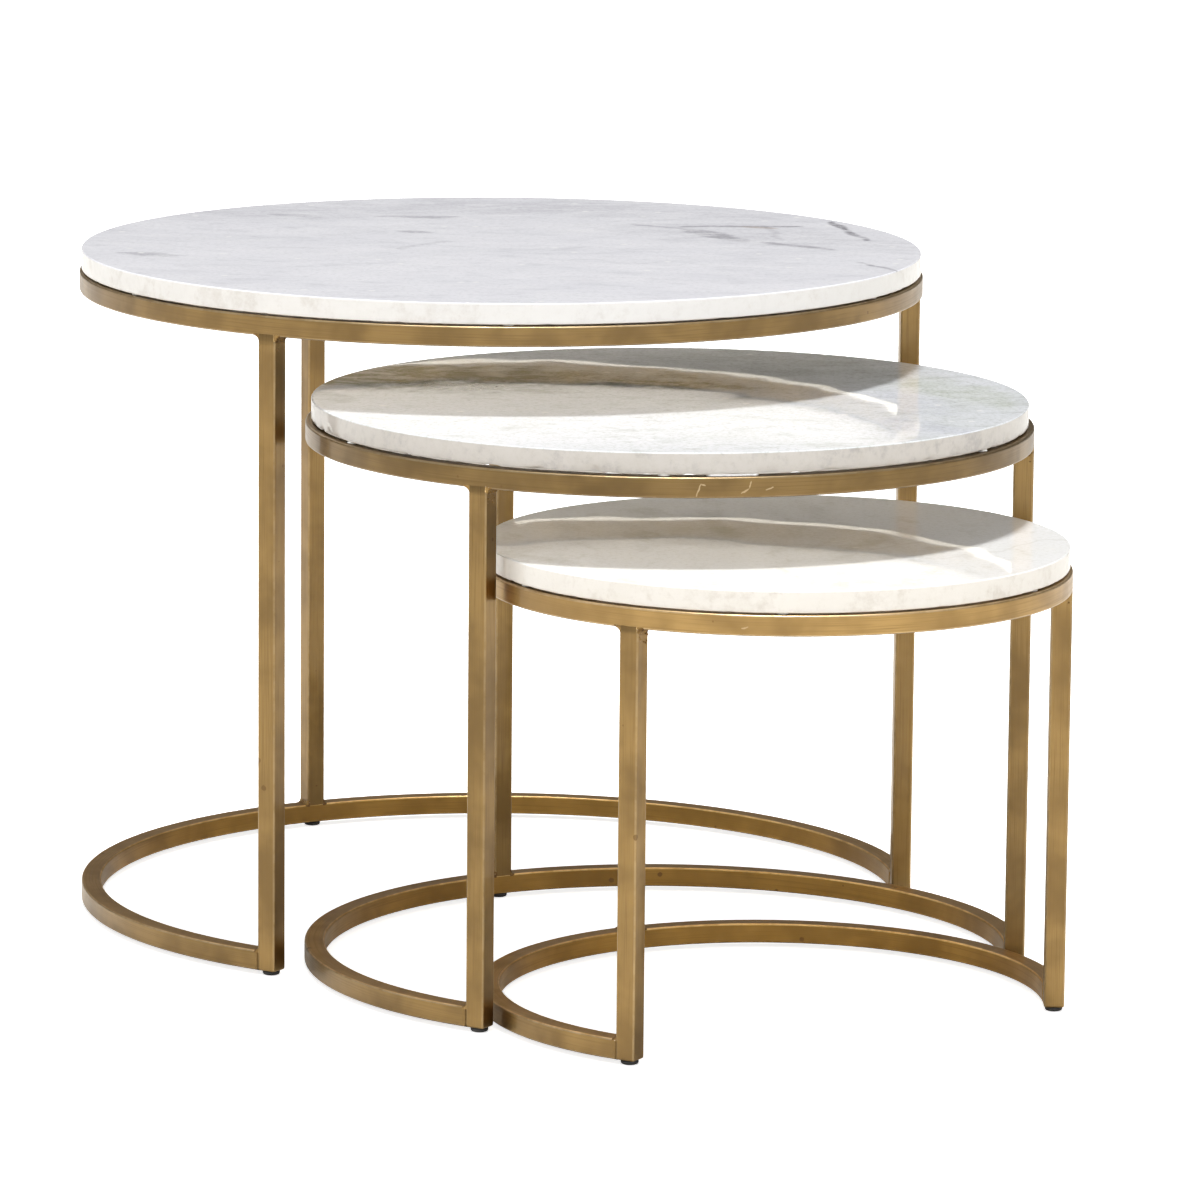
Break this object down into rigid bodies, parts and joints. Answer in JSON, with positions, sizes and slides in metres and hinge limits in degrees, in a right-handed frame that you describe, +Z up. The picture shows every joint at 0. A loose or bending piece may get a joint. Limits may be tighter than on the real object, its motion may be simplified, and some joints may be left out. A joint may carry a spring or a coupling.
{
  "type": "nesting tables",
  "caption": "Round marble-topped nesting tables on square-bar brass frames, open at the front so that each slides under the next larger one.",
  "frame": {"origin": "centre of the set's box at floor level, with the tables partly pulled out as they stand at rest", "axes": "+Z up, -Y the way the middle and small tables are pulled out, +X to the right of someone who faces the open side"},
  "size_m": [0.6, 0.885, 0.474],
  "materials": {
    "white_marble": "polished",
    "grey_marble": "polished",
    "cream_marble": "polished",
    "brass_bar": "satin",
    "brass_weld": "matte",
    "clear_rubber": "satin",
    "black_rubber": "matte"
  },
  "bodies": {
    "large_table": {"large_top": "white_marble", "large_pads": "clear_rubber", "large_ring": "brass_bar", "large_left_leg": "brass_bar", "large_right_leg": "brass_bar", "large_back_leg": "brass_bar", "large_base_arc": "brass_bar", "large_welds": "brass_weld", "large_glides": "black_rubber"},
    "middle_table": {"middle_top": "grey_marble", "middle_pads": "clear_rubber", "middle_ring": "brass_bar", "middle_left_leg": "brass_bar", "middle_right_leg": "brass_bar", "middle_back_leg": "brass_bar", "middle_base_arc": "brass_bar", "middle_welds": "brass_weld", "middle_glides": "black_rubber"},
    "small_table": {"small_top": "cream_marble", "small_pads": "clear_rubber", "small_ring": "brass_bar", "small_left_leg": "brass_bar", "small_right_leg": "brass_bar", "small_back_leg": "brass_bar", "small_base_arc": "brass_bar", "small_welds": "brass_weld", "small_glides": "black_rubber"}
  },
  "joints": [
    {"name": "middle_slide", "type": "slide", "parent": "large_table", "child": "middle_table", "axis": [0, -1, 0], "range_m": [-0.2368, 0.334]},
    {"name": "small_slide", "type": "slide", "parent": "middle_table", "child": "small_table", "axis": [0, -1, 0], "range_m": [-0.15, 0.319]}
  ]
}
